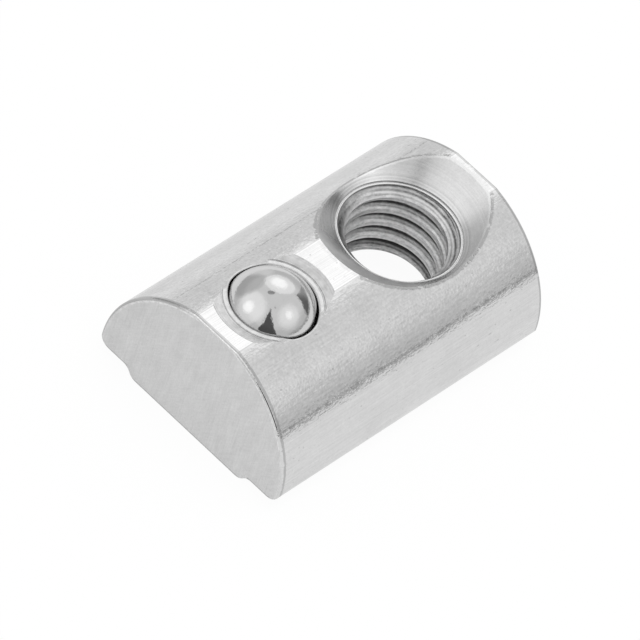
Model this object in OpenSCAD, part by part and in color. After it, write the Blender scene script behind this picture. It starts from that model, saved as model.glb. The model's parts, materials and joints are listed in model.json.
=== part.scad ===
// Half-round T-slot nut with a spring-loaded ball.
// It rolls into the slot of an aluminium profile with the round side inwards, the sprung ball
// holds it where it is put, and the screw pulls its flat land into the slot.
// X runs along the nut, Z = 0 is the land, and the origin is in the middle of the underside.

/* [Body] */
// Length of the nut
body_l = 24; // [22:0.1:32]
// Radius of the half-round top
round_r = 8.1; // [7.6:0.05:9.5]
// Height of the half round's axis above the land
round_axis_h = 1.4; // [1.1:0.05:2.2]
// Height of the flat on the crown above the land
crown_h = 9.3; // [9.0:0.05:9.4]
// Radius of the two rounded lower corners
corner_r = 0.6; // [0.2:0.05:0.6]
// Edge break around both sawn ends
end_break = 0.15; // [0.05:0.01:0.3]

/* [Land] */
// Width of the land that sits in the slot's mouth, half way up its sides
land_w = 10.4; // [9.6:0.1:11.6]
// Height of the land below the shoulders
land_h = 0.65; // [0.3:0.05:0.8]
// Width of the curved side of the land
land_side_w = 1.3; // [0.9:0.1:1.5]

/* [Thread] */
// Distance from the thread's axis to the far end of the nut
thread_to_end = 6.8; // [6.6:0.1:9]
// Drilled diameter under the thread
thread_drill_d = 6.8; // [5:0.05:7]
// Diameter of the countersink's small end
sink_rim_d = 8.2; // [7.6:0.05:8.4]
// Depth of the countersink's small end below the crown
sink_depth = 1.65; // [1.2:0.05:1.8]
// Full angle of the countersink
sink_angle = 106; // [80:1:108]
// Height of the plain collar between the countersink and the thread
collar_h = 0.2; // [0.1:0.05:0.6]
// Diameter of the chamfer under the thread
underside_sink_d = 9.6; // [7.4:0.1:9.8]

/* [Ball] */
// Distance between the thread's axis and the ball's axis
ball_spacing = 12.0; // [11.8:0.1:12.4]
// Diameter of the ball
ball_d = 6.35; // [6:0.05:6.5]
// Height of the ball's top above the crown
ball_stand = 1.45; // [1.2:0.05:1.6]
// Gap all round between the ball and its pocket
pocket_clear = 0.05; // [0.03:0.01:0.08]
// Thickness left under the ball's pocket
pocket_floor = 1.2; // [1:0.1:1.6]

/* [Staking] */
// Height above the ball's middle of the two lips that keep the ball in
lip_rise = 0.86; // [0.8:0.01:0.9]
// Gap between the raised ball and the lips
lip_clear = 0.04; // [0.03:0.01:0.06]
// Gap between the pocket's wall and its mouth, across the nut, where nothing is staked
mouth_clear = 0.04; // [0.03:0.01:0.08]
// Width of the raised ring around the mouth
ring_w = 0.22; // [0.14:0.02:0.3]
// Depth of the raised ring below the crown
ring_depth = 0.16; // [0.1:0.02:0.2]
// Width of the coined groove outside the ring
groove_w = 0.46; // [0.4:0.02:0.6]
// Depth of the coined groove below the crown
groove_depth = 0.27; // [0.22:0.01:0.3]

/* [Spring] */
// Thickness of the spring wire
wire_d = 0.4; // [0.3:0.02:0.45]
// Mean diameter of the spring
coil_d = 4; // [3.4:0.1:4.4]
// Working turns between the two closed ends
coil_turns = 2.5; // [1.5:0.5:3]
// Gap left at each end of the spring
spring_gap = 0.03; // [0.02:0.01:0.05]

/* [Hidden] */
$fn = 96;
over = 1;
wire_sides = 10;
steps_per_turn = 28;
closed_turns = 0.75;

near_x = -body_l / 2;
far_x = body_l / 2;
thread_x = far_x - thread_to_end;
ball_x = thread_x - ball_spacing;

// profile of the body, with the half round's axis at round_axis_h
corner_z = land_h + corner_r;
corner_y = sqrt(pow(round_r - corner_r, 2) - pow(corner_z - round_axis_h, 2));
side_r = (pow(land_side_w, 2) + pow(land_h, 2)) / (4 * land_h);
side_in_y = (land_w - land_side_w) / 2;
side_out_y = (land_w + land_side_w) / 2;

// countersinks of the threaded hole
thread_r = thread_drill_d / 2;
sink_rim_r = sink_rim_d / 2;
sink_rim_z = crown_h - sink_depth;
sink_top_r = sink_rim_r + (sink_depth + over) * tan(sink_angle / 2);
collar_z = sink_rim_z - collar_h;
lead_z = collar_z - (sink_rim_r - thread_r);
underside_r = underside_sink_d / 2;
underside_z = underside_r - thread_r;

// ball, pocket and lip
ball_r = ball_d / 2;
ball_z = crown_h + ball_stand - ball_r;
pocket_r = ball_r + pocket_clear;
lip_z = ball_z + lip_rise;
lip_r = sqrt(pow(ball_r + lip_clear, 2) - pow(lip_rise, 2));
mouth_r = pocket_r + mouth_clear;
mouth_shift = mouth_r - lip_r;
ring_z = crown_h - ring_depth;
ring_r = pocket_r + ring_w;
groove_z = crown_h - groove_depth;
groove_r = ring_r + groove_w;

// spring between the pocket's floor and the ball
wire_r = wire_d / 2;
coil_r = coil_d / 2;
coil_low_z = pocket_floor + wire_r + spring_gap;
coil_high_z = ball_z - sqrt(pow(ball_r + wire_r + spring_gap, 2) - pow(coil_r, 2));
all_turns = coil_turns + 2 * closed_turns;
working_h = coil_high_z - coil_low_z - 2 * closed_turns * wire_d;

// one curved side of the land, as two arcs that meet half way up
module land_side() {
    intersection() {
        translate([side_in_y, side_r])
            circle(r = side_r);
        translate([side_in_y - 0.2, 0])
            square([land_side_w / 2 + 0.2, land_h + 0.1]);
    }
    difference() {
        translate([land_w / 2, 0])
            square([land_side_w / 2 + 0.2, land_h + 0.1]);
        translate([side_out_y, land_h - side_r])
            circle(r = side_r);
    }
}

// underside: the land, its curved sides and the straight shoulders
module underside_profile() {
    translate([-side_in_y, 0])
        square([2 * side_in_y, land_h + 0.1]);
    land_side();
    mirror([1, 0])
        land_side();
}

// upper part: the half round with its crown flat, down to the shoulders
module half_round_profile() {
    intersection() {
        translate([0, round_axis_h])
            circle(r = round_r);
        translate([-corner_y, land_h])
            square([2 * corner_y, crown_h - land_h]);
    }
    intersection() {
        translate([0, round_axis_h])
            circle(r = round_r);
        translate([-round_r - over, corner_z])
            square([2 * (round_r + over), crown_h - corner_z]);
    }
    for (side = [-1, 1])
        translate([side * corner_y, corner_z])
            circle(r = corner_r);
}

module bar_profile() {
    half_round_profile();
    underside_profile();
}

// drawn bar of the nut's section, lying along X
module bar() {
    translate([near_x, 0, 0])
        rotate([90, 0, 90])
            linear_extrude(height = body_l)
                bar_profile();
}

// cone coaxial with the half round that breaks the sharp edge of one end
module end_edge_cut() {
    rotate([0, 90, 0])
        difference() {
            translate([0, 0, -over])
                cylinder(r = round_r + 2, h = over + end_break);
            translate([0, 0, -over])
                cylinder(r = round_r - end_break, h = over);
            cylinder(r1 = round_r - end_break, r2 = round_r, h = end_break);
        }
}

// drilled hole with its countersinks, as one turned shape
module thread_hole() {
    translate([thread_x, 0, 0])
        rotate_extrude()
            polygon([
                [0, -over],
                [underside_r + over, -over],
                [thread_r, underside_z],
                [thread_r, lead_z],
                [sink_rim_r, collar_z],
                [sink_rim_r, sink_rim_z],
                [sink_top_r, crown_h + over],
                [0, crown_h + over]
            ]);
}

// ring that the staking punch leaves on the crown, cut from above
module staking_mark() {
    rotate_extrude()
        polygon([
            [0, ring_z],
            [ring_r, ring_z],
            [ring_r + 0.1, groove_z],
            [ring_r + 0.3 * groove_w, groove_z],
            [groove_r, crown_h],
            [groove_r, crown_h + over],
            [0, crown_h + over]
        ]);
}

// mouth of the pocket: round across the nut, squeezed into two lips along it
module staked_mouth() {
    intersection_for(side = [-1, 1])
        translate([side * mouth_shift, 0, lip_z])
            cylinder(r = mouth_r, h = crown_h + over - lip_z);
}

// blind pocket that holds the spring and the ball
module ball_pocket() {
    translate([ball_x, 0, 0]) {
        translate([0, 0, pocket_floor])
            cylinder(r = pocket_r, h = lip_z - pocket_floor);
        staked_mouth();
        staking_mark();
    }
}

module nut_body() {
    color("silver")
        difference() {
            bar();
            translate([near_x, 0, round_axis_h])
                end_edge_cut();
            translate([far_x, 0, round_axis_h])
                mirror([1, 0, 0])
                    end_edge_cut();
            thread_hole();
            ball_pocket();
        }
}

module detent_ball() {
    color("lightsteelblue")
        translate([ball_x, 0, ball_z])
            sphere(r = ball_r);
}

// height of the wire's middle after a number of turns: close wound at both ends
function wire_z(turn) =
    turn < closed_turns ? coil_low_z + turn * wire_d :
    turn > all_turns - closed_turns ? coil_high_z - (all_turns - turn) * wire_d :
    coil_low_z + closed_turns * wire_d + (turn - closed_turns) * working_h / coil_turns;

// ring of points around the wire at one place along the coil
function wire_ring(turn) = [
    for (k = [0 : wire_sides - 1])
        let (a = 360 * turn, b = 360 * k / wire_sides, r = coil_r + wire_r * cos(b))
            [r * cos(a), r * sin(a), wire_z(turn) + wire_r * sin(b)]
];

module ball_spring() {
    last = round(all_turns * steps_per_turn);
    points = [for (i = [0 : last]) each wire_ring(i / steps_per_turn)];
    skin = [
        for (i = [0 : last - 1], k = [0 : wire_sides - 1])
            let (a = i * wire_sides + k, b = i * wire_sides + (k + 1) % wire_sides)
                [a, a + wire_sides, b + wire_sides, b]
    ];
    low_cap = [for (k = [0 : wire_sides - 1]) k];
    high_cap = [for (k = [wire_sides - 1 : -1 : 0]) last * wire_sides + k];
    color("dimgray")
        translate([ball_x, 0, 0])
            polyhedron(points = points, faces = concat(skin, [low_cap, high_cap]));
}

nut_body();
detent_ball();
ball_spring();
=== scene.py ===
"""Half-round T-slot nut with a spring-loaded ball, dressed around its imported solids."""

import json
import math

import bmesh
import bpy
import numpy as np
from mathutils import Matrix, Vector


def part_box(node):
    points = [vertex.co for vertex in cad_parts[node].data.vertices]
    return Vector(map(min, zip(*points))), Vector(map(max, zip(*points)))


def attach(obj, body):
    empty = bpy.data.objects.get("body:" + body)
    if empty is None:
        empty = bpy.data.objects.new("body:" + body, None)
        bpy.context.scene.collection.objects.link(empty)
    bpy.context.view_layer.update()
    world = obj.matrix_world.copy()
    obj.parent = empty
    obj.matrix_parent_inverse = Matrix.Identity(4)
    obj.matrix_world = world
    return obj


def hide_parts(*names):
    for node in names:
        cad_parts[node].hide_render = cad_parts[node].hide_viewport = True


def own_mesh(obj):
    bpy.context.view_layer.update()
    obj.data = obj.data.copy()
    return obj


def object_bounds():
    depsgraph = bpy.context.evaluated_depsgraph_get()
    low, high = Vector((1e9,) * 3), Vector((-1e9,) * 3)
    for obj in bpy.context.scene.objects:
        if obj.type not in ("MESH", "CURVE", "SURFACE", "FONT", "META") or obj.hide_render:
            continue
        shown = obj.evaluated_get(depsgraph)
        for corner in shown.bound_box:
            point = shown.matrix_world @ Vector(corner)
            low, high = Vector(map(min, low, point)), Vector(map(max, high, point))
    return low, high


bl_info = {
    "name": "T-slot nut",
    "version": (1, 0, 0),
    "blender": (4, 5, 0),
    "location": "View3D > Sidebar > T-slot nut",
    "description": "Builds a half-round T-slot nut with its sprung ball, and its stage",
    "category": "Object",
}

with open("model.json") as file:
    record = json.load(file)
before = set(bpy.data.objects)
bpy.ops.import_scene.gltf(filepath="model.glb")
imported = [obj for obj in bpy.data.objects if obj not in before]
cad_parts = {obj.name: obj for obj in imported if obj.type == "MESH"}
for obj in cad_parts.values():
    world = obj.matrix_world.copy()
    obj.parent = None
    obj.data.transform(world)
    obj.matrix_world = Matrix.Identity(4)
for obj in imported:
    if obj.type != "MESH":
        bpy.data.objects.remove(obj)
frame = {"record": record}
CAD_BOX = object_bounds()
MM = 0.001


def box_mm(node):
    """Lowest and highest corner of a CAD node, in millimetres."""
    low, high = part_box(node)
    return np.array(low) / MM, np.array(high) / MM


BODY_LOW, BODY_HIGH = box_mm("nut_body")
BALL_LOW, BALL_HIGH = box_mm("detent_ball")
SPRING_LOW, SPRING_HIGH = box_mm("ball_spring")
END_X = BODY_HIGH[0]
CROWN_Z = BODY_HIGH[2]
THREAD = next(mount for mount in frame["record"]["mounts"] if mount["name"] == "thread")
THREAD_X = THREAD["pos_m"][0] / MM
DRILL_R = THREAD["dims"]["r_mm"]
BALL_MIDDLE = (BALL_LOW + BALL_HIGH) / 2
BALL_X = BALL_MIDDLE[0]
BALL_R = (BALL_HIGH[0] - BALL_LOW[0]) / 2


# settings


def length(name, text, default_mm):
    """A size that the sidebar shows as a length."""
    return bpy.props.FloatProperty(
        name=name, description=text, default=default_mm * MM, unit="LENGTH", precision=5
    )


def angle(name, text, default_degrees):
    """An angle that the sidebar shows in degrees."""
    return bpy.props.FloatProperty(
        name=name, description=text, default=math.radians(default_degrees), subtype="ANGLE"
    )


def share(name, text, default):
    """A plain number between 0 and 1."""
    return bpy.props.FloatProperty(name=name, description=text, default=default, min=0.0, max=1.0)


def colour(name, text, default):
    """A colour, in linear light."""
    return bpy.props.FloatVectorProperty(
        name=name, description=text, default=default, subtype="COLOR", size=3, min=0.0, max=1.0
    )


class NutSizes(bpy.types.PropertyGroup):
    """Sizes of the nut's body that the frame doesn't state."""

    round_r: length("Round radius", "Radius of the half-round top", 8.1)
    round_axis_h: length("Round axis", "Height of the half round's axis above the land", 1.4)
    corner_r: length("Corner radius", "Radius of the lower corners", 0.9)
    end_break: length("Edge break", "Edge break around both sawn ends", 0.15)
    land_w: length("Land width", "Width of the land half way up its sides", 10.4)
    land_h: length("Land height", "Height of the land below the shoulders", 0.65)
    land_side_w: length("Land side", "Width of the curved side of the land", 1.3)
    rim_d: length("Rim", "Diameter of the countersink's small end", 8.04)
    sink_depth: length("Countersink depth", "Depth of the countersink's small end", 1.71)
    sink_angle: angle("Countersink angle", "Full angle of the countersink", 106)
    collar_h: length("Collar", "Plain wall between the countersink and the thread", 0.12)
    underside_sink_d: length("Lower chamfer", "Diameter of the chamfer under the thread", 10.2)
    underside_sink_h: length("Lower chamfer height", "Height of the chamfer", 1.85)


class ThreadSizes(bpy.types.PropertyGroup):
    """Sizes of the helical thread."""

    pitch: length("Pitch", "Rise of the thread in one turn", 1.25)
    major_d: length("Major diameter", "Diameter across the thread's roots", 8.0)
    root_w: length("Root width", "Width of the flat at the thread's root", 0.16)
    steps: bpy.props.IntProperty(
        name="Steps", description="Steps around one turn", default=144, min=24
    )


class PocketSizes(bpy.types.PropertyGroup):
    """Sizes of the ball's pocket and its staked mouth."""

    clear: length("Clearance", "Gap all round between the ball and its pocket", 0.05)
    floor: length("Floor", "Thickness left under the pocket", 1.2)
    lip_rise: length("Lip rise", "Height of the lips above the ball's middle", 0.86)
    lip_clear: length("Lip clearance", "Gap between the ball and the lips", 0.04)
    mouth_r: length("Mouth radius", "Radius of the mouth along the nut", 2.885)
    mouth_front: length("Front of the mouth", "What its radius gains towards -Y", 0.18)
    mouth_back: length("Back of the mouth", "What its radius gains towards +Y", 0.09)
    ring_w: length("Ring width", "Width of the raised ring around the mouth", 0.05)
    ring_depth: length("Ring depth", "Depth of the raised ring below the crown", 0.18)
    groove_depth: length("Groove depth", "Depth of the thin groove outside the ring", 0.25)
    dish_r: length("Dish radius", "Outer radius of the shallow dish the punch leaves", 4.1)


class SpringSizes(bpy.types.PropertyGroup):
    """Sizes of the compression spring."""

    wire_d: length("Wire", "Thickness of the spring wire", 0.4)
    turns: bpy.props.FloatProperty(
        name="Working turns", description="Turns between the closed ends", default=2.5, min=0.5
    )
    closed_turns: bpy.props.FloatProperty(
        name="Closed turns", description="Close-wound turns at each end", default=0.75, min=0.0
    )
    pressed: share("Pressed", "Share of its height left with the ball pressed right in", 0.6)


class FinishSettings(bpy.types.PropertyGroup):
    """Colours and sheen of the nut's surfaces."""

    plated: colour("Plating", "Bright plating on the drawn faces", (0.70, 0.70, 0.70))
    sawn: colour("Sawn ends", "Plating over the finely sawn ends", (0.64, 0.64, 0.64))
    turned: colour("Turned faces", "Plating in the countersink", (0.66, 0.66, 0.66))
    # the thread's plating is set darker than the bar's, as painted shade inside the hole
    tapped: colour("Thread", "Plating on the thread's flanks", (0.47, 0.47, 0.47))
    ball: colour("Ball", "Polished steel of the ball", (0.63, 0.63, 0.63))
    wire: colour("Spring wire", "Drawn spring wire", (0.33, 0.33, 0.34))
    drawn_sheen: share("Drawn roughness", "Roughness of the drawn faces", 0.09)
    sawn_sheen: share("Sawn roughness", "Roughness of the sawn ends", 0.42)


class StageSettings(bpy.types.PropertyGroup):
    """Camera and studio."""

    azimuth: angle("Azimuth", "Direction the camera stands in", -149.72)
    elevation: angle("Elevation", "Height of the camera", 47.85)
    roll: angle("Roll", "Tilt of the picture", 19.33)
    distance: length("Distance", "From the camera to the nut", 569.3)
    focal: bpy.props.FloatProperty(
        name="Focal length", description="In millimetres, on a 36 mm sensor", default=506.25
    )


def settings(name):
    """One of this scene's groups of settings."""
    return getattr(bpy.context.scene, "tnut_" + name)


def mm(value):
    """A stored length as a number of millimetres."""
    return value / MM


# shader maths


class Num:
    """A socket that adds, multiplies and compares through Math nodes."""

    def __init__(self, nodes, socket):
        self.nodes = nodes
        self.socket = socket

    def _math(self, operation, *values):
        node = self.nodes.put("ShaderNodeMath", {"operation": operation}, dict(enumerate(values)))
        return Num(self.nodes, node.outputs[0])

    def __add__(self, other):
        return self._math("ADD", self, other)

    def __sub__(self, other):
        return self._math("SUBTRACT", self, other)

    def __mul__(self, other):
        return self._math("MULTIPLY", self, other)

    def __truediv__(self, other):
        return self._math("DIVIDE", self, other)

    def __rsub__(self, other):
        return self._math("SUBTRACT", other, self)

    def __rtruediv__(self, other):
        return self._math("DIVIDE", other, self)

    __radd__ = __add__
    __rmul__ = __mul__

    def size(self):
        """The number without its sign."""
        return self._math("ABSOLUTE", self)

    def root(self):
        """Square root."""
        return self._math("SQRT", self)

    def most(self, other):
        """The larger of two numbers."""
        return self._math("MAXIMUM", self, other)

    def least(self, other):
        """The smaller of two numbers."""
        return self._math("MINIMUM", self, other)

    def sine(self):
        """Sine of an angle in radians."""
        return self._math("SINE", self)

    def angle_to(self, other):
        """Angle of the point (other, self) about the origin."""
        return self._math("ARCTAN2", self, other)

    def step(self, low, high):
        """0 below low, 1 above high and smooth between; it falls where high is the lower one."""
        changes = {"interpolation_type": "SMOOTHSTEP", "clamp": True}
        values = {"Value": self, "From Min": min(low, high), "From Max": max(low, high)}
        values |= {"To Min": float(low > high), "To Max": float(low < high)}
        return Num(self.nodes, self.nodes.put("ShaderNodeMapRange", changes, values).outputs[0])


class Nodes:
    """Adds nodes to one tree."""

    def __init__(self, tree):
        self.tree = tree
        tree.nodes.clear()

    def put(self, kind, changes=None, values=None):
        """A node of a type, with its settings first and then its sockets' values or links."""
        node = self.tree.nodes.new(kind)
        for name, value in (changes or {}).items():
            setattr(node, name, value)
        for name, value in (values or {}).items():
            socket = node.inputs[name]
            if isinstance(value, Num):
                value = value.socket
            elif isinstance(value, bpy.types.Node):
                value = value.outputs[0]
            if isinstance(value, bpy.types.NodeSocket):
                self.tree.links.new(value, socket)
            else:
                socket.default_value = value
        return node

    def place(self):
        """Object coordinates in millimetres, as a vector and its three parts."""
        coords = self.put("ShaderNodeTexCoord").outputs["Object"]
        values = {0: coords, "Scale": 1 / MM}
        place = self.put("ShaderNodeVectorMath", {"operation": "SCALE"}, values)
        return place, self.parts(place)

    def parts(self, vector):
        """The three numbers of a vector."""
        node = self.put("ShaderNodeSeparateXYZ", None, {0: vector})
        return [Num(self, output) for output in node.outputs]

    def vector(self, x, y, z):
        """A vector from three numbers."""
        return self.put("ShaderNodeCombineXYZ", None, {0: x, 1: y, 2: z})

    def noise(self, vector, scale, detail=2.0, rough=0.5):
        """Noise between 0 and 1, about 0.5 on average."""
        values = {"Vector": vector, "Scale": scale, "Detail": detail, "Roughness": rough}
        node = self.put("ShaderNodeTexNoise", {"noise_dimensions": "3D"}, values)
        return Num(self, node.outputs["Fac"])

    def tint(self, factor, dark, light):
        """Two colours blended by a number."""
        changes = {"data_type": "RGBA", "clamp_factor": True}
        values = {0: factor, 6: (*dark, 1.0), 7: (*light, 1.0)}
        return self.put("ShaderNodeMix", changes, values).outputs[2]

    def tones(self, factor, rgb, dark, light):
        """A colour between a darker and a lighter tone of it."""
        ends = [[min(1.0, part * tone) for part in rgb] for tone in (dark, light)]
        return self.tint(factor, *ends)

    def bump(self, height, distance_mm, strength):
        """A bumped normal; height is in units of the distance."""
        values = {"Strength": strength, "Distance": distance_mm * MM, "Height": height}
        return self.put("ShaderNodeBump", None, values)

    def metal(self, base, rough, normal):
        """The metal's shader, joined to the output."""
        values = {"Base Color": base, "Metallic": 1.0, "Roughness": rough, "Normal": normal}
        shader = self.put("ShaderNodeBsdfPrincipled", None, values)
        self.put("ShaderNodeOutputMaterial", None, {"Surface": shader})

    def glow(self, kind, rgba, strength):
        """An even Emission or Background."""
        return self.put(kind, None, {"Color": rgba, "Strength": strength})

    def mixed(self, factor, first, second):
        """Two shaders mixed by a number."""
        return self.put("ShaderNodeMixShader", None, {0: factor, 1: first, 2: second})


def new_material(name):
    """An empty node material, its nodes and the places on it."""
    material = bpy.data.materials.new(name)
    material.use_nodes = True
    nodes = Nodes(material.node_tree)
    return material, nodes, *nodes.place()


def distance_from_axis(x, y, axis_x):
    """Distance of a place from an upright axis on the nut's middle plane."""
    across = x - axis_x
    return (across * across + y * y).root()


def below_round(y, z):
    """Depth of a place below the half round."""
    size = settings("nut")
    up = z - mm(size.round_axis_h)
    return mm(size.round_r) - (y * y + up * up).root()


def saddle_edge(nodes, place, x, y, z):
    """Ragged distance from the edge that the countersink leaves on the round and the crown."""
    size = settings("nut")
    half_angle = size.sink_angle / 2
    up = z - (CROWN_Z - mm(size.sink_depth))
    cone = distance_from_axis(x, y, THREAD_X) - mm(size.rim_d) / 2 - up * math.tan(half_angle)
    skin = below_round(y, z).least(CROWN_Z - z)
    wander = (nodes.noise(place, 3.2, 3.0, 0.7) - 0.5) * 0.18
    return (cone * math.cos(half_angle)).size().most(skin.size()) + wander


def end_line(nodes, place, x, inset, width):
    """A broken thin line of painted shade around the nut, a little in from both sawn ends."""
    wander = (nodes.noise(place, 2.5, 3.0, 0.6) - 0.5) * 0.10
    off = (x.size() - (END_X - inset) + wander).size()
    broken = nodes.noise(place, 1.3).step(0.25, 0.45)
    return off.step(width, width * 0.3) * broken


def die_line(nodes, place, y, z, around, width):
    """A ragged line that the drawing die left along the half round, at an angle in degrees."""
    size = settings("nut")
    turn = (z - mm(size.round_axis_h)).angle_to(y) - math.radians(around)
    wander = (nodes.noise(place, 3.5, 3.0, 0.7) - 0.5) * 0.30
    broken = nodes.noise(place, 3.2, 3.0, 0.7).step(0.42, 0.56)
    return (turn * mm(size.round_r) + wander).size().step(width, width * 0.3) * broken


def drawn_steel():
    """Bright plated drawn bar: sandy grain, fine lengthwise lines, pits, and painted shade along
    the countersink's edge and the sawn ends.
    """
    look = settings("look")
    material, nodes, place, (x, y, z) = new_material("plated_drawn_steel")
    crown = z.step(CROWN_Z - 0.05, CROWN_Z - 0.01)
    grain = nodes.noise(place, 5.5, 1.0)
    dashes = nodes.noise(nodes.vector(x * 1.5, y * 5.5, z * 5.5), 1.0)
    lines = nodes.noise(nodes.vector(x * 0.10, y * 13.0, z * 13.0), 1.0, 3.0, 0.65)
    clouds = nodes.noise(place, 0.4, 3.0, 0.6)
    pits = nodes.noise(nodes.vector(x * 2.6, y * 4.5, z * 4.5), 1.0).step(0.68, 0.76)
    # painted shade: a dark ragged line along the edge that the countersink leaves on the round and
    # the crown
    dark_edge = saddle_edge(nodes, place, x, y, z).step(0.22, 0.10) * (1.0 - crown * 0.85)
    dark_edge = dark_edge * nodes.noise(place, 2.8, 3.0, 0.6).step(0.36, 0.52)
    # painted shade: the rim of each sawn end on the +Y side, and a broken thin line in from both
    # ends
    end_rim_shade = x.size().step(END_X - 0.18, END_X - 0.05) * y.step(2.0, 4.5)
    dark_end = end_line(nodes, place, x, 0.20, 0.11).most(end_rim_shade)
    dies = die_line(nodes, place, y, z, 144.5, 0.13) + die_line(nodes, place, y, z, 60.5, 0.07)
    low = z.step(6.2, 5.6)
    sand = 1.0 - crown * 0.75 - low * 0.55
    streaks = 0.35 + crown * 0.45 + low * 0.15
    tone = 0.5 + ((grain - 0.5) * 0.5 + (dashes - 0.5) * 0.4) * sand + (clouds - 0.5) * 0.3
    tone = tone + (lines - 0.5) * streaks - pits * 0.35
    tone = tone - dark_edge * 1.1 - dark_end * 1.2 - dies * 0.75
    base = nodes.tones(tone, look.plated, 0.66, 1.22)
    rough = look.drawn_sheen + (dashes - 0.5) * 0.12 + (grain - 0.5) * 0.10 + pits * 0.1
    height = (grain * 0.5 + dashes * 0.45) * sand + lines * (0.12 + crown * 0.1) - pits * 0.25
    height = height - dark_edge * 0.6 - dies * 0.1
    nodes.metal(base, rough.most(0.05), nodes.bump(height, 0.024, 1.0))
    return material


def sawn_steel():
    """Plated saw-cut end: faint straight cutting lines over a fine matt grain, a painted highlight
    near the round edge and painted shade along the rim.
    """
    look = settings("look")
    material, nodes, place, (x, y, z) = new_material("plated_sawn_steel")
    strokes = nodes.noise(nodes.vector(y * 8.0, z * 0.3, x), 1.0, 4.0, 0.75)
    swirl = nodes.noise(nodes.vector((y + z) * 5.0, (y - z) * 0.5, x), 1.0, 3.0, 0.7)
    grain = nodes.noise(place, 7.0, 3.0, 0.65)
    clouds = nodes.noise(nodes.vector(y * 1.1, z * 0.45, x), 1.0, 3.0, 0.6)
    wander = (nodes.noise(place, 2.0, 3.0, 0.6) - 0.5) * 0.16
    skin = below_round(y, z) + wander
    specks = nodes.noise(place, 3.0, 3.0, 0.7).step(0.36, 0.60)
    # painted highlight: a bright band just inside the round edge, stronger higher up
    edge_glint_and_shade = (skin.step(0.34, 0.24) - skin.step(0.22, 0.16) * 0.6) * specks
    # painted shade: a dark line right at the round edge on the lower part and the +Y side
    rim_shade_side = z.step(4.6, 3.0).most(y.step(1.8, 4.2) * 1.4)
    edge_glint_and_shade = edge_glint_and_shade * (0.5 + z.step(3.0, 5.5) * 0.9) - skin.step(0.12, 0.02) * rim_shade_side
    # painted shade: a dark line along the land's bottom edge and the shoulder lines
    shoulder = (z - mm(settings("nut").land_h)).size() + y.size().step(5.5, 5.3) * 9.0
    under = z.least(shoulder) + wander.size() * 0.6
    edge_glint_and_shade = edge_glint_and_shade - under.step(0.15, 0.05) * 1.5
    tone = 0.5 + (strokes - 0.5) * 0.6 + (swirl - 0.5) * 0.4 + (grain - 0.5) * 0.6
    tone = tone + (clouds - 0.5) * 0.45 + edge_glint_and_shade * 0.35
    base = nodes.tones(tone, look.sawn, 0.74, 1.24)
    rough = look.sawn_sheen + (grain - 0.5) * 0.16 + (strokes - 0.5) * 0.1
    nodes.metal(base, rough, nodes.bump(strokes * 0.5 + grain * 0.5, 0.012, 0.8))
    return material


def turned_steel():
    """Countersink and collar: fine turned rings about the thread's axis, a painted highlight along
    the outer edge, and painted light and shade by side and below the rim.
    """
    look = settings("look")
    material, nodes, place, (x, y, z) = new_material("plated_turned_steel")
    away = distance_from_axis(x, y, THREAD_X)
    rings = nodes.noise(nodes.vector(away * 6.5, 0.0, 0.0), 1.0, 3.0, 0.75)
    smear = nodes.noise(place, 1.0, 3.0, 0.6)
    grain = nodes.noise(place, 7.0, 3.0, 0.6)
    # painted highlight along the countersink's outer edge
    edge_glint_and_shade = saddle_edge(nodes, place, x, y, z).step(0.15, 0.06)
    rim_z = CROWN_Z - mm(settings("nut").sink_depth)
    # painted shade below the countersink's rim
    inside = z.step(rim_z + 0.02, rim_z - 0.08)
    # the side of the countersink towards the camera: the edge's highlight is dimmed there, and its
    # +Y part is painted lighter
    near = ((THREAD_X - x) * 0.86 - y * 0.5).step(2.6, 4.4)
    deep = away.step(5.6, 4.4)
    tone = 0.45 + (rings - 0.5) * (0.7 + deep) + (smear - 0.5) * 0.5 + (grain - 0.5) * 0.4
    tone = tone + edge_glint_and_shade * (0.4 - near * 0.5) - inside * 0.7 + near * y.step(-2.5, 1.5) * 0.5
    base = nodes.tones(tone, look.turned, 0.74, 1.22)
    rough = 0.25 + near * 0.20 + (smear - 0.5) * 0.12 + (rings - 0.5) * 0.08
    height = rings * 0.75 + grain * 0.25
    nodes.metal(base, rough.most(0.06), nodes.bump(height, 0.012, 0.8))
    return material


def tapped_steel():
    """Thread: rough flanks with fine ridges along them, duller towards the roots, with painted
    shade and light that follow depth, height and side.
    """
    look = settings("look")
    thread = settings("thread")
    material, nodes, place, (x, y, z) = new_material("plated_tapped_steel")
    away = distance_from_axis(x, y, THREAD_X)
    # towards the roots: painted shade darkens them, and they are duller
    deep = away.step(DRILL_R, mm(thread.major_d) / 2)
    chatter = nodes.noise(place, 4.0, 5.0, 0.75)
    torn = nodes.noise(nodes.vector(x * 1.4, y * 1.4, z * 8.0), 1.0, 3.0, 0.7)
    ridge_count = 3.0
    along = z * (2 * math.pi / mm(thread.pitch)) - y.angle_to(x - THREAD_X)
    ridges = (along * ridge_count + torn * 5.0).sine()
    # painted shade on the lower turns
    low = z.step(3.4, 2.2)
    wide = away.step(DRILL_R + 0.02, DRILL_R + 0.20)
    # painted light and shade on the -X side: lighter crests, darker grooves
    left = (THREAD_X - x).step(0.0, 2.6) * (0.22 - wide * 0.62)
    # painted light and shade on the +X side: bands across the grooves
    right = (x - THREAD_X).step(0.0, 2.0) * wide * (away * 26.0).sine() * 0.32
    tone = 0.70 + left - deep * 0.45 + (chatter - 0.5) + (torn - 0.5) + ridges * 0.12
    # painted light on the upper turns
    tone = tone - low * 0.3 + z.step(6.7, 7.5) * 0.3 + right
    base = nodes.tones(tone, look.tapped, 0.25, 1.6)
    rough = 0.34 + deep * 0.2 + (chatter - 0.5) * 0.2
    nodes.metal(base, rough, nodes.bump(chatter * 0.6 + torn * 0.4, 0.06, 0.9))
    return material


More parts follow.
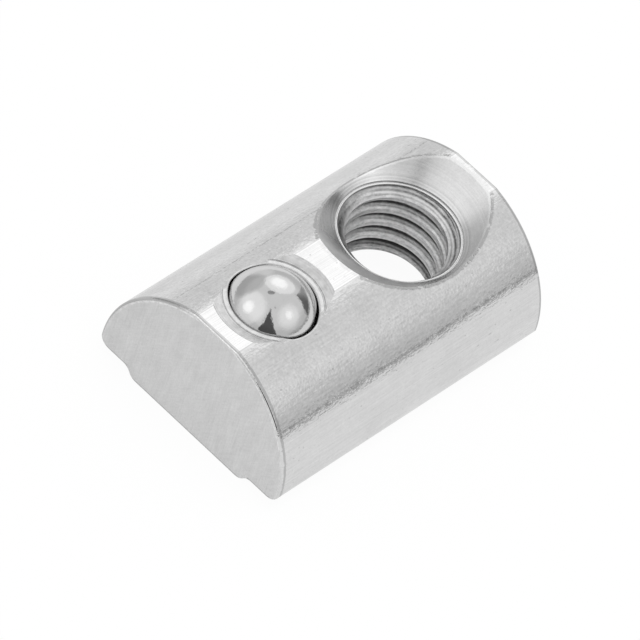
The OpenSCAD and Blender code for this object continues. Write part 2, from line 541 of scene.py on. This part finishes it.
def staked_steel():
    """Pocket, mouth and staking mark: burnished by the punch, with painted shade that darkens the
    pocket.
    """
    look = settings("look")
    material, nodes, place, (x, y, z) = new_material("plated_staked_steel")
    away = distance_from_axis(x, y, BALL_X)
    # painted shade, darkening the pocket towards black below the crown
    deep = z.step(CROWN_Z - 0.75, CROWN_Z - 1.5)
    rings = nodes.noise(nodes.vector(away * 7.0, 0.0, 0.0), 1.0, 3.0, 0.6)
    dents = nodes.noise(place, 2.2, 3.0, 0.6)
    tone = 0.15 + rings * 0.4 + dents * 0.6 - deep * 0.9
    base = nodes.tones(tone, look.plated, 0.12, 1.25)
    rough = 0.32 + (dents - 0.5) * 0.2
    nodes.metal(base, rough, nodes.bump(rings * 0.4 + dents * 0.6, 0.03, 0.7))
    return material


def ball_steel():
    """Polished bearing steel with a few hairline marks."""
    look = settings("look")
    material, nodes, place, (x, y, z) = new_material("polished_ball_steel")
    haze = nodes.noise(place, 1.4, 3.0, 0.6)
    marks = nodes.noise(nodes.vector(x * 1.2, y * 12.0, z * 3.0), 1.0).step(0.66, 0.74)
    base = nodes.tones(haze - marks * 0.2, look.ball, 0.94, 1.05)
    ripple = nodes.noise(place, 2.5, 3.0, 0.7)
    rough = 0.035 + haze * 0.03 + marks * 0.06
    nodes.metal(base, rough, nodes.bump(haze * 0.1 + ripple - marks * 0.03, 0.016, 0.6))
    return material


def wire_steel():
    """Drawn spring wire, dark and slightly oily."""
    look = settings("look")
    material, nodes, place, _ = new_material("spring_wire_steel")
    scale = nodes.noise(place, 6.0, 4.0, 0.6)
    base = nodes.tones(scale, look.wire, 0.7, 1.2)
    nodes.metal(base, 0.32 + (scale - 0.5) * 0.2, nodes.bump(scale, 0.01, 0.5))
    return material


FINISHES = {
    "drawn": drawn_steel,
    "sawn": sawn_steel,
    "turned": turned_steel,
    "tapped": tapped_steel,
    "staked": staked_steel,
}
FINISH_NAMES = list(FINISHES)
FINISH_MATERIALS = {}


# shapes, worked out in millimetres

# how far the cutters reach past the skin
OVER = 0.8
# points closer than this after the cuts are one point
SEAM_GAP = 0.0001
# lengths along the bar, and steps around the cutters
BAR_STEPS = 24
HOLE_STEPS = 288
POCKET_STEPS = 192
MOUTH_STEPS = 240
# height at which the thread's groove starts, towards +X
THREAD_START = -0.72
# points along the spring's wire, its share of the full thickness, closed pitch in wire radii
WIRE_POINTS = 260
WIRE_SHARE = 0.985
CLOSED_PITCH = 2.03


def arc(centre, radius, start, end, steps):
    """Points on an arc, angles in degrees."""
    angles = np.radians(np.linspace(start, end, steps + 1))
    return [(centre[0] + radius * math.cos(a), centre[1] + radius * math.sin(a)) for a in angles]


class BarProfile:
    """Half of the drawn bar's section, as (across, up) points, and the axes of its arcs."""

    def __init__(self):
        size = settings("nut")
        self.axis_h = mm(size.round_axis_h)
        self.round_r = mm(size.round_r)
        corner_r = mm(size.corner_r)
        land_h = mm(size.land_h)
        side_w = mm(size.land_side_w)
        side_r = (side_w**2 + land_h**2) / (4 * land_h)
        sweep = math.degrees(math.asin(side_w / 2 / side_r))
        inner = ((mm(size.land_w) - side_w) / 2, side_r)
        outer = ((mm(size.land_w) + side_w) / 2, land_h - side_r)
        corner_z = land_h + corner_r
        reach = self.round_r - corner_r
        corner = (math.sqrt(reach**2 - (corner_z - self.axis_h) ** 2), corner_z)
        low_angle = math.degrees(math.atan2(corner_z - self.axis_h, corner[0]))
        high_angle = math.degrees(math.asin((CROWN_Z - self.axis_h) / self.round_r))
        self.arcs = [((0.0, self.axis_h), self.round_r)]
        for centre, radius in ((corner, corner_r), (inner, side_r), (outer, side_r)):
            self.arcs += [(centre, radius), ((-centre[0], centre[1]), radius)]
        self.half = (
            arc(inner, side_r, -90, -90 + sweep, 8)
            + arc(outer, side_r, 90 + sweep, 90, 8)[1:]
            + arc(corner, corner_r, -90, low_angle, 14)
            + arc((0.0, self.axis_h), self.round_r, low_angle, high_angle, 96)[1:]
        )

    def loop(self):
        """The whole closed outline, seen from the far end."""
        return self.half + [(-across, up) for across, up in reversed(self.half)]

    def clipped(self, inset):
        """The outline with its round drawn in by an edge break."""
        points = []
        for across, up in self.loop():
            out = math.hypot(across, up - self.axis_h)
            keep = min(1.0, (self.round_r - inset) / out)
            points.append((across * keep, self.axis_h + (up - self.axis_h) * keep))
        return points


def placed(name, data):
    """A new object in the scene, at the origin."""
    piece = bpy.data.objects.new(name, data)
    bpy.context.collection.objects.link(piece)
    return piece


def mesh_object(name, points, faces, finishes):
    """An object from points and faces, with one finish for each face."""
    mesh = bpy.data.meshes.new(name)
    mesh.from_pydata(points, [], faces)
    for finish in FINISH_NAMES:
        mesh.materials.append(FINISH_MATERIALS[finish])
    slots = [FINISH_NAMES.index(finish) for finish in finishes]
    mesh.polygons.foreach_set("material_index", slots)
    return placed(name, mesh)


def wall_faces(rows, steps):
    """Four-sided faces between one closed ring of points and the next."""
    for row in range(rows):
        for k in range(steps):
            a, b = row * steps + k, row * steps + (k + 1) % steps
            yield a, b, b + steps, a + steps


def bar_mesh(profile):
    """The drawn bar with a rounded edge break at each sawn end."""
    inset = mm(settings("nut").end_break)
    low, high = BODY_LOW[0], END_X
    rounds = [(0.0, 1.0), (0.25, 0.55), (0.55, 0.25), (1.0, 0.0)]
    stations = [(low + inset * along, inset * deep) for along, deep in rounds]
    stations += [(low + (high - low) * k / BAR_STEPS, 0.0) for k in range(1, BAR_STEPS)]
    stations += [(high - inset * along, inset * deep) for along, deep in reversed(rounds)]
    points = [(x, y, z) for x, deep in stations for y, z in profile.clipped(deep)]
    count = len(profile.loop())
    faces = [(a, d, c, b) for a, b, c, d in wall_faces(len(stations) - 1, count)]
    finishes = ["drawn"] * len(faces) + ["sawn", "sawn"]
    near, far = range(count), range(len(points) - count, len(points))
    faces += [tuple(near), tuple(reversed(far))]
    return mesh_object("nut_bar", points, faces, finishes)


def ringed_mesh(name, rings, low, high, finishes):
    """A closed shape from rings of points, lowest first, with one finish for each row of faces."""
    steps = len(rings[0])
    points = [point for ring in rings for point in ring] + [low, high]
    painted = [finish for finish in finishes for _ in range(steps)]
    painted += [finishes[0], finishes[-1]] * steps
    faces = list(wall_faces(len(rings) - 1, steps))
    under = len(rings) * steps
    top = under - steps
    for k in range(steps):
        after = (k + 1) % steps
        faces.append((under, after, k))
        faces.append((under + 1, top + k, top + after))
    return mesh_object(name, points, faces, painted)


def turned_mesh(name, axis_x, outline, steps, finishes):
    """A closed turned shape about an upright axis: outline holds (radius, height) points."""
    angles = [2 * math.pi * k / steps for k in range(steps)]
    rings = [
        [(axis_x + radius * math.cos(a), radius * math.sin(a), height) for a in angles]
        for radius, height in outline[1:-1]
    ]
    low, high = (axis_x, 0.0, outline[0][1]), (axis_x, 0.0, outline[-1][1])
    return ringed_mesh(name, rings, low, high, finishes)


def mouth_mesh(lip_z):
    """Cutter for the mouth: its lip leans over the ball, and the punch has rounded its edge."""
    pocket = settings("pocket")
    size = settings("nut")
    lip_r = math.sqrt((BALL_R + mm(pocket.lip_clear)) ** 2 - mm(pocket.lip_rise) ** 2)
    ring_z = CROWN_Z - mm(pocket.ring_depth)
    low_z = lip_z - 0.02
    high_z = CROWN_Z + OVER
    # section of the rounded edge, as distance outwards and height above the ring
    edge = [(0.03, -0.22), (0.0, -0.12), (0.012, -0.06), (0.05, -0.02)]
    edge += [(0.12, 0.0), (0.22, 0.02), (0.33, 0.12)]
    columns = []
    for k in range(MOUTH_STEPS):
        turn = 2 * math.pi * k / MOUTH_STEPS
        c, s = math.cos(turn), math.sin(turn)
        gain = mm(pocket.mouth_back) if s > 0 else mm(pocket.mouth_front)
        reach = mm(pocket.mouth_r) + gain * min(1.0, 1.5 * s**6)
        column = [(lip_r, low_z)]
        for out, rise in edge:
            radius = reach + out
            skin = mm(size.round_axis_h) + math.sqrt(mm(size.round_r) ** 2 - (radius * s) ** 2)
            column.append((radius, min(ring_z, skin) + rise))
        column.append((reach + edge[-1][0], high_z))
        columns.append([(BALL_X + r * c, r * s, z) for r, z in column])
    rings = list(zip(*columns))
    low, high = (BALL_X, 0.0, low_z), (BALL_X, 0.0, high_z)
    return ringed_mesh("mouth_tool", rings, low, high, ["staked"] * (len(rings) - 1))


def hole_outline():
    """The drilled and countersunk hole, from below the land to above the crown."""
    size = settings("nut")
    rim_r = mm(size.rim_d) / 2
    rim_z = CROWN_Z - mm(size.sink_depth)
    rise = math.tan(size.sink_angle / 2)
    collar_z = rim_z - mm(size.collar_h)
    lead_z = collar_z - (rim_r - DRILL_R) / rise
    lower_r = mm(size.underside_sink_d) / 2
    lower_h = mm(size.underside_sink_h)
    below_r = lower_r + OVER * (lower_r - DRILL_R) / lower_h
    # height of the thin lip around the rim
    lip = 0.06
    return [
        (0.0, -OVER),
        (below_r, -OVER),
        (DRILL_R, lower_h),
        (DRILL_R, lead_z),
        (rim_r, collar_z),
        (rim_r, rim_z + 0.5 * lip),
        (rim_r + 0.5 * lip, rim_z + lip),
        (rim_r + 1.2 * lip, rim_z + lip),
        (rim_r + 1.8 * lip, rim_z + 0.3 * lip),
        (rim_r + 2.4 * lip, rim_z + 0.4 * lip),
        (rim_r + 3.2 * lip, rim_z + 3.2 * lip / rise),
        (rim_r + (CROWN_Z - rim_z + OVER) * rise, CROWN_Z + OVER),
        (0.0, CROWN_Z + OVER),
    ]


def thread_mesh():
    """The helical groove of the thread, as one closed shape wound about the thread's axis."""
    size = settings("nut")
    thread = settings("thread")
    pitch = mm(thread.pitch)
    root_r = mm(thread.major_d) / 2
    # the groove starts a little inside the drilled wall, so that it opens fully
    crest_r = DRILL_R - 0.12
    flank_angle = math.radians(30)
    flank = (root_r - crest_r) * math.tan(flank_angle)
    half_root = mm(thread.root_w) / 2
    middle = pitch / 2
    # section of the groove with its rounded root, as height and distance from the axis
    shape = [
        (middle - half_root - flank, crest_r),
        (middle - half_root, root_r - 0.02),
        (middle - half_root * 0.4, root_r),
        (middle + half_root * 0.4, root_r),
        (middle + half_root, root_r - 0.02),
        (middle + half_root + flank, crest_r),
    ]
    rim_z = CROWN_Z - mm(size.sink_depth)
    turns = int((rim_z - THREAD_START) / pitch) + 1
    heights = [THREAD_START + turn * pitch for turn in range(turns + 1)]
    rows = [(low + up, radius) for low in heights[:-1] for up, radius in shape]
    last_row = (heights[-1] + shape[0][0], crest_r)
    per_turn = len(shape)
    steps = thread.steps
    points, faces = [], []
    for up, radius in rows + [last_row]:
        for k in range(steps):
            turn = 2 * math.pi * k / steps
            lift = pitch * k / steps
            points.append((THREAD_X + radius * math.cos(turn), radius * math.sin(turn), up + lift))
    last = len(rows)

    def at(row, k):
        """Number of a point; a full turn further on is the row one pitch up."""
        return (row + per_turn) * steps if k == steps else row * steps + k

    closing = last - per_turn
    for row in range(last):
        for k in range(steps):
            if k == steps - 1 and row + 1 > closing:
                continue
            faces.append((at(row, k), at(row, k + 1), at(row + 1, k + 1), at(row + 1, k)))
    # both ends close around a point on the axis, a little above the rows that they close
    tip = 0.3
    under, over = len(points), len(points) + 1
    points += [(THREAD_X, 0.0, low + shape[0][0] + tip) for low in (heights[0], heights[-1])]
    low_edge = [at(0, k) for k in range(steps + 1)]
    low_edge += [row * steps for row in range(per_turn - 1, -1, -1)]
    high_edge = [at(last, k) for k in range(steps)]
    high_edge += [row * steps + steps - 1 for row in range(last - 1, closing - 1, -1)]
    high_edge += [at(closing, steps)]
    faces += [(under, b, a) for a, b in zip(low_edge, low_edge[1:] + low_edge[:1]) if a != b]
    faces += [(over, a, b) for a, b in zip(high_edge, high_edge[1:] + high_edge[:1]) if a != b]
    return mesh_object("thread_groove", points, faces, ["tapped"] * len(faces))


def staking_outline():
    """Ring, thin groove and shallow dish that the punch leaves around the ball."""
    pocket = settings("pocket")
    ring_r = BALL_R + mm(pocket.clear) + mm(pocket.ring_w)
    ring_z = CROWN_Z - mm(pocket.ring_depth)
    groove_z = CROWN_Z - mm(pocket.groove_depth)
    dish_r = mm(pocket.dish_r)
    return [
        (0.0, ring_z),
        (ring_r - 0.05, ring_z),
        (ring_r, ring_z - 0.02),
        (ring_r + 0.03, groove_z),
        (ring_r + 0.07, groove_z),
        (ring_r + 0.12, ring_z + 0.01),
        (dish_r - 0.05, CROWN_Z - 0.03),
        (dish_r, CROWN_Z),
        (dish_r, CROWN_Z + OVER),
        (0.0, CROWN_Z + OVER),
    ]


def bake(piece):
    """Turns what the modifiers make of a piece into its plain mesh."""
    graph = bpy.context.evaluated_depsgraph_get()
    result = bpy.data.meshes.new_from_object(piece.evaluated_get(graph))
    if not result.polygons:
        raise RuntimeError("The modifiers left nothing of " + piece.name)
    piece.modifiers.clear()
    piece.data = result


def cut(piece, tool):
    """Cuts one shape out of another and removes the tool."""
    change = piece.modifiers.new("cut", "BOOLEAN")
    change.operation = "DIFFERENCE"
    change.solver = "EXACT"
    change.object = tool
    change.material_mode = "TRANSFER"
    bake(piece)
    bpy.data.objects.remove(tool)


def close_seams(mesh):
    """Joins points that the cuts left almost in one place, so that the mesh is closed."""
    shape = bmesh.new()
    shape.from_mesh(mesh)
    bmesh.ops.remove_doubles(shape, verts=shape.verts, dist=SEAM_GAP)
    bmesh.ops.dissolve_degenerate(shape, dist=SEAM_GAP, edges=shape.edges)
    shape.to_mesh(mesh)
    shape.free()


def turned_about(normal, middle, corner, axis):
    """A face's normal carried to one of its corners around an axis."""
    origin, along = axis
    start = middle - origin
    end = corner - origin
    out = (start - along * start.dot(along)).normalized()
    side = along.cross(out)
    new_out = (end - along * end.dot(along)).normalized()
    new_side = along.cross(new_out)
    return new_out * normal.dot(out) + new_side * normal.dot(side) + along * normal.dot(along)


def true_normals(mesh, profile):
    """Gives every face corner the normal of the true surface that the face lies on."""
    lengthwise = Vector((1, 0, 0))
    upright = Vector((0, 0, 1))
    thread_axis = (Vector((THREAD_X, 0, 0)), upright)
    ball_axis = (Vector((BALL_X, 0, 0)), upright)
    # a normal this close to an axis is along it, and a face this near an arc lies on it
    straight = 0.99999
    near_arc = 0.25
    normals = [None] * len(mesh.loops)
    finish_of = {FINISH_MATERIALS[finish].name: finish for finish in FINISH_NAMES}
    slots = [finish_of[material.name] for material in mesh.materials]
    for face in mesh.polygons:
        middle, normal, finish = face.center, face.normal, slots[face.material_index]
        axis = None
        if finish == "drawn":
            if abs(normal.z) < straight:
                gap, centre = min(
                    (abs(math.hypot(middle.y - c[0], middle.z - c[1]) - r), c)
                    for c, r in profile.arcs
                )
                if gap < near_arc:
                    axis = (Vector((0, *centre)), lengthwise)
        elif finish == "staked":
            axis = ball_axis
        elif finish != "sawn":
            axis = thread_axis
        for loop in face.loop_indices:
            corner = mesh.vertices[mesh.loops[loop].vertex_index].co
            if axis is None or abs(normal.dot(axis[1])) > straight:
                normals[loop] = normal.copy()
            else:
                normals[loop] = turned_about(normal, middle, corner, axis)
    mesh.shade_smooth()
    mesh.normals_split_custom_set(normals)


def to_metres(mesh):
    """Scales a mesh that was worked out in millimetres."""
    places = np.empty(len(mesh.vertices) * 3)
    mesh.vertices.foreach_get("co", places)
    mesh.vertices.foreach_set("co", places * MM)
    mesh.update()


def declare(piece, node, body):
    """Puts a finished piece on its body, in place of its CAD node."""
    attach(piece, body)
    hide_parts(node)


# operators and what they call

WHITE = (1.0, 1.0, 1.0, 1.0)
BLACK = (0.0, 0.0, 0.0, 1.0)
# place on the nut that the middle of the picture shows, in millimetres
PICTURE_MIDDLE = (-1.143, -0.347, 3.598)


class NutBodyMaker(bpy.types.Operator):
    """Build the nut's body with its countersink, thread, pocket and staking mark"""

    bl_idname = "tnut.body"
    bl_label = "Nut body"

    def execute(self, context):
        for name, build in FINISHES.items():
            FINISH_MATERIALS[name] = build()
        pocket = settings("pocket")
        profile = BarProfile()
        body = bar_mesh(profile)
        body.name = "nut"
        hole = hole_outline()
        finishes = ["turned", "tapped", "tapped"] + ["turned"] * (len(hole) - 6)
        cut(body, turned_mesh("hole_tool", THREAD_X, hole, HOLE_STEPS, finishes))
        cut(body, thread_mesh())
        pocket_r = BALL_R + mm(pocket.clear)
        lip_z = BALL_MIDDLE[2] + mm(pocket.lip_rise)
        floor_z = mm(pocket.floor)
        bore = [(0.0, floor_z), (pocket_r, floor_z), (pocket_r, lip_z), (0.0, lip_z)]
        cut(body, turned_mesh("bore_tool", BALL_X, bore, POCKET_STEPS, ["staked"]))
        cut(body, mouth_mesh(lip_z))
        mark = staking_outline()
        finishes = ["staked"] * (len(mark) - 3)
        cut(body, turned_mesh("mark_tool", BALL_X, mark, POCKET_STEPS, finishes))
        close_seams(body.data)
        true_normals(body.data, profile)
        to_metres(body.data)
        declare(body, "nut_body", "nut")
        return {"FINISHED"}


class DetentBallMaker(bpy.types.Operator):
    """Build the polished ball"""

    bl_idname = "tnut.ball"
    bl_label = "Detent ball"

    def execute(self, context):
        mesh = bpy.data.meshes.new("ball")
        shape = bmesh.new()
        bmesh.ops.create_icosphere(shape, subdivisions=6, radius=BALL_R * MM)
        middle = Vector(BALL_MIDDLE) * MM
        for point in shape.verts:
            point.co += middle
        shape.to_mesh(mesh)
        shape.free()
        mesh.shade_smooth()
        mesh.materials.append(ball_steel())
        declare(placed("ball", mesh), "detent_ball", "ball")
        return {"FINISHED"}


class BallSpringMaker(bpy.types.Operator):
    """Wind the compression spring under the ball with Geometry Nodes"""

    bl_idname = "tnut.spring"
    bl_label = "Ball spring"

    def execute(self, context):
        spring = settings("spring")
        wire_r = spring.wire_d / 2
        sizes = {
            "Coil radius": (SPRING_HIGH[1] - SPRING_LOW[1]) / 2 * MM - wire_r,
            "Wire radius": wire_r * WIRE_SHARE,
            "Low": SPRING_LOW[2] * MM + wire_r,
            "High": SPRING_HIGH[2] * MM - wire_r,
            "Working turns": spring.turns,
            "Closed turns": spring.closed_turns,
            "Across": BALL_X * MM,
        }
        piece = placed("spring", bpy.data.meshes.new("spring"))
        change = piece.modifiers.new("winding", "NODES")
        change.node_group = spring_tree(wire_steel(), sizes)
        for item in change.node_group.interface.items_tree:
            if item.name in sizes:
                change[item.identifier] = sizes[item.name]
        bake(piece)
        piece.data.shade_smooth()
        declare(piece, "ball_spring", "nut")
        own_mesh(piece)
        return {"FINISHED"}


def spring_tree(material, names):
    """Geometry Nodes that wind a wire into a spring with closed ends."""
    tree = bpy.data.node_groups.new("spring_winding", "GeometryNodeTree")
    for name in names:
        tree.interface.new_socket(name, in_out="INPUT", socket_type="NodeSocketFloat")
    tree.interface.new_socket("Spring", in_out="OUTPUT", socket_type="NodeSocketGeometry")
    nodes = Nodes(tree)
    sockets = nodes.put("NodeGroupInput").outputs
    given = {name: Num(nodes, socket) for name, socket in zip(names, sockets)}
    all_turns = given["Working turns"] + given["Closed turns"] * 2.0
    changes = {"mode": "OFFSET", "count_mode": "TOTAL"}
    line = nodes.put("GeometryNodeMeshLine", changes, {"Count": WIRE_POINTS})
    curve = nodes.put("GeometryNodeMeshToCurve", None, {"Mesh": line})
    index = Num(nodes, nodes.put("GeometryNodeInputIndex").outputs[0])
    turn = index * all_turns / (WIRE_POINTS - 1.0)
    wire = given["Wire radius"] * CLOSED_PITCH
    start = turn.least(given["Closed turns"])
    late = (turn - given["Closed turns"] - given["Working turns"]).most(0.0)
    worked = turn - start - late
    closed_rise = given["Closed turns"] * wire * 2.0
    working_rise = given["High"] - given["Low"] - closed_rise
    up = given["Low"] + (start + late) * wire + worked * working_rise / given["Working turns"]
    around = turn * (2 * math.pi)
    x = given["Across"] + given["Coil radius"] * (around + math.pi / 2).sine()
    y = given["Coil radius"] * around.sine()
    moved = nodes.put(
        "GeometryNodeSetPosition", None, {"Geometry": curve, "Position": nodes.vector(x, y, up)}
    )
    values = {"Resolution": 14, "Radius": given["Wire radius"]}
    ring = nodes.put("GeometryNodeCurvePrimitiveCircle", {"mode": "RADIUS"}, values)
    values = {"Curve": moved, "Profile Curve": ring, "Fill Caps": True}
    swept = nodes.put("GeometryNodeCurveToMesh", None, values)
    real = nodes.put("GeometryNodeRealizeInstances", None, {"Geometry": swept})
    painted = nodes.put("GeometryNodeSetMaterial", None, {"Geometry": real, "Material": material})
    nodes.put("NodeGroupOutput", None, {"Spring": painted})
    return tree


class StageMaker(bpy.types.Operator):
    """Set up the white floor, the studio surroundings, the lamp and the camera"""

    bl_idname = "tnut.stage"
    bl_label = "Stage"

    def execute(self, context):
        context.scene.view_settings.view_transform = "Standard"
        make_floor()
        make_world(context.scene)
        make_lamp()
        make_camera(context.scene)
        return {"FINISHED"}


def make_floor():
    """A wide white disc that keeps a faint shadow."""
    mesh = bpy.data.meshes.new("floor")
    shape = bmesh.new()
    bmesh.ops.create_circle(shape, cap_ends=True, segments=96, radius=6.0)
    shape.to_mesh(mesh)
    shape.free()
    floor = placed("floor", mesh)
    # just under the land, so that the two faces don't share one plane
    floor.location.z = CAD_BOX[0][2] - 0.00002
    material, nodes, place, (_, y, _) = new_material("white_sweep")
    paper = nodes.tint(nodes.noise(place, 0.2), (0.80, 0.80, 0.80), (0.82, 0.82, 0.82))
    matt = nodes.put("ShaderNodeBsdfDiffuse", None, {"Color": paper})
    path = nodes.put("ShaderNodeLightPath")
    camera = Num(nodes, path.outputs["Is Camera Ray"])
    mirrored = Num(nodes, path.outputs["Is Glossy Ray"])
    mirrored = mirrored + Num(nodes, path.outputs["Is Transmission Ray"])
    # the metal mirrors a floor with a faint painted shadow behind the nut
    shade = y.step(35.0, 14.0) * y.step(6.0, 12.0) * 0.14
    shaded = nodes.tint(shade, WHITE[:3], BLACK[:3])
    bright = nodes.glow("ShaderNodeEmission", WHITE, 1.0)
    soft = nodes.glow("ShaderNodeEmission", shaded, 0.95)
    shown = nodes.mixed(camera, soft, bright)
    surface = nodes.mixed(camera * 0.95 + mirrored * 0.80, matt, shown)
    nodes.put("ShaderNodeOutputMaterial", None, {"Surface": surface})
    mesh.materials.append(material)


def direction(azimuth, elevation):
    """A unit vector from angles in degrees."""
    a, e = math.radians(azimuth), math.radians(elevation)
    return (math.cos(e) * math.cos(a), math.cos(e) * math.sin(a), math.sin(e))


def make_world(scene):
    """White to the camera; metal sees a light tent with soft lamps and a few dark shapes."""
    world = bpy.data.worlds.new("light_tent")
    scene.world = world
    world.use_nodes = True
    nodes = Nodes(world.node_tree)
    ray = nodes.put("ShaderNodeTexCoord").outputs["Generated"]
    x, y, z = nodes.parts(ray)

    def patch(azimuth, elevation, inner, outer):
        """A soft round patch: 1 within the inner angle, 0 past the outer one."""
        towards = direction(azimuth, elevation)
        dot = nodes.put("ShaderNodeVectorMath", {"operation": "DOT_PRODUCT"}, {0: ray, 1: towards})
        low, high = math.cos(math.radians(outer)), math.cos(math.radians(inner))
        return Num(nodes, dot.outputs["Value"]).step(low, high)

    turn = y.angle_to(x) * (180 / math.pi)
    # the tent's wall and its lamps
    wall = 0.70 + z.step(0.22, 0.52) * 0.17
    back = patch(28, 46, 24, 28.5) * 0.26 + patch(31, 45, 9, 18) * 0.34
    left = patch(150, 36, 26, 42) * 0.26 + patch(146, 31, 5, 17) * 0.36
    right = patch(-80, 38, 16, 32) * 0.22 + patch(-77, 42, 3, 12) * 0.32
    far_wall = patch(54, 9, 6, 17) * 0.16
    # its dimmer side, and the dark line where it meets the table
    dim_side = patch(86, 22, 20, 33) * 0.24
    foot = z.step(0.15, 0.06) * 0.26 + z.step(0.05, 0.02) * 0.16
    horizon = patch(-54, 2, 30, 44) * foot
    # what the ball mirrors: a dark doorway, dark patches overhead and a dark stand
    door_roof = (0.62 - (-15.0 - turn) * 0.0162).least(0.62 - (turn + 15.0) * 0.0235)
    door = (door_roof - z).step(-0.02, 0.02) * z.step(0.05, 0.10) * x.step(0.2, 0.3)
    door = door * (0.42 + turn.step(-2.0, -20.0) * 0.35) * turn.step(-41.0, -35.0)
    slot = patch(76, 73.5, 3, 5.5).most(patch(66, 75, 3, 5.5)).most(patch(54, 75.5, 3, 5.5))
    slot = (slot * 0.58).most(patch(-121.6, 68.1, 1, 3) * 0.4)
    below = 0.92 - z
    facing = math.radians(37)
    side = y * math.cos(facing) - x * math.sin(facing)
    side = (side - 0.041 + below * 0.0995).size() - below * 0.4725
    stand = side.step(0.015, -0.015) * (x * -0.84 - y * 0.54).step(0.05, 0.2)
    stand = stand * z.step(0.92, 0.90) * 0.87
    tent = (wall + back + left + right + far_wall) * (1.0 - dim_side) * (1.0 - horizon)
    tent = tent * (1.0 - door) * (1.0 - slot) * (1.0 - stand)
    brightest = 1.6
    glossy = nodes.put("ShaderNodeLightPath").outputs["Is Glossy Ray"]
    plain = nodes.glow("ShaderNodeBackground", WHITE, 1.0)
    dark = nodes.glow("ShaderNodeBackground", BLACK, 0.0)
    bright = nodes.glow("ShaderNodeBackground", WHITE, brightest)
    studio = nodes.mixed(tent / brightest, dark, bright)
    surface = nodes.mixed(glossy, plain, studio)
    nodes.put("ShaderNodeOutputWorld", None, {"Surface": surface})


def make_lamp():
    """One weak overhead lamp that gives the floor its soft shadow."""
    data = bpy.data.lights.new("top_lamp", "AREA")
    data.shape = "DISK"
    data.size = 0.25
    data.energy = 0.6
    lamp = placed("top_lamp", data)
    lamp.location = (0.05, -0.06, 0.45)
    lamp.rotation_euler = (-lamp.location).to_track_quat("-Z", "Y").to_euler()
    lamp.visible_glossy = False


def make_camera(scene):
    """The photograph's long lens and its tilt."""
    stage = settings("stage")
    data = bpy.data.cameras.new("camera")
    data.sensor_width = 36.0
    data.lens = stage.focal
    data.clip_start = 0.01
    data.clip_end = 20.0
    camera = placed("camera", data)
    away = Vector(direction(math.degrees(stage.azimuth), math.degrees(stage.elevation)))
    target = Vector(PICTURE_MIDDLE) * MM
    forward = -away
    right = forward.cross(Vector((0, 0, 1))).normalized()
    down = forward.cross(right)
    turn = -stage.roll
    across = right * math.cos(turn) + down * math.sin(turn)
    below = down * math.cos(turn) - right * math.sin(turn)
    turned = Matrix((across, -below, -forward)).transposed()
    camera.rotation_euler = turned.to_euler()
    camera.location = target + away * stage.distance
    scene.camera = camera


class TnutPanel(bpy.types.Panel):
    """Sidebar panel of the nut's pieces"""

    bl_idname = "VIEW3D_PT_tnut"
    bl_label = "T-slot nut"
    bl_space_type = "VIEW_3D"
    bl_region_type = "UI"
    bl_category = "T-slot nut"

    def draw(self, context):
        for maker in MAKERS:
            self.layout.operator(maker.bl_idname)


MAKERS = [StageMaker, NutBodyMaker, DetentBallMaker, BallSpringMaker]
GROUPS = {
    "nut": NutSizes,
    "thread": ThreadSizes,
    "pocket": PocketSizes,
    "spring": SpringSizes,
    "look": FinishSettings,
    "stage": StageSettings,
}


def register():
    for group in GROUPS.values():
        bpy.utils.register_class(group)
    for maker in MAKERS + [TnutPanel]:
        bpy.utils.register_class(maker)
    for name, group in GROUPS.items():
        setattr(bpy.types.Scene, "tnut_" + name, bpy.props.PointerProperty(type=group))


def unregister():
    for name in GROUPS:
        delattr(bpy.types.Scene, "tnut_" + name)
    for maker in [TnutPanel] + MAKERS[::-1]:
        bpy.utils.unregister_class(maker)
    for group in GROUPS.values():
        bpy.utils.unregister_class(group)


def main():
    """Registers the add-on and builds everything in order."""
    register()
    bpy.ops.tnut.stage()
    bpy.ops.tnut.body()
    bpy.ops.tnut.ball()
    bpy.ops.tnut.spring()


if __name__ == "__main__":
    main()
